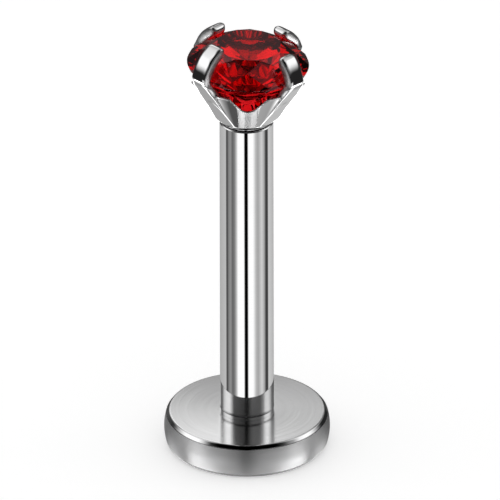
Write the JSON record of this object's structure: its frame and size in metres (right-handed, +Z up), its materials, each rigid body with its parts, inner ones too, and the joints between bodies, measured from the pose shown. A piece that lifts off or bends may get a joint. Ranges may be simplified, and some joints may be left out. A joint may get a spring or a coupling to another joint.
{
  "type": "labret stud",
  "caption": "Labret stud for a piercing: flat disc back, straight round post and a push-fit top whose prongs hold a round brilliant stone.",
  "frame": {"origin": "centre of the disc's underside, on the surface that the unworn stud stands on", "axes": "+Z up along the post from the disc to the stone; +X to the right and -Y towards the viewer of the picture"},
  "size_m": [0.004, 0.004, 0.0112],
  "materials": {
    "disc_metal": "satin face, brushed rim, polished bevel",
    "post_metal": "mirror polished steel",
    "head_metal": "mirror polished steel",
    "pin_metal": "fine turned steel",
    "red_stone": "deep red cut stone, polished facets"
  },
  "bodies": {
    "back": {"base_disc": "disc_metal", "post": "post_metal"},
    "top": {"prong_head": "head_metal", "push_pin": "pin_metal", "stone": "red_stone"}
  },
  "joints": [
    {"name": "top_lift", "type": "slide", "parent": "back", "child": "top", "axis": [0, 0, 1], "range_m": [0, 0.013]}
  ]
}
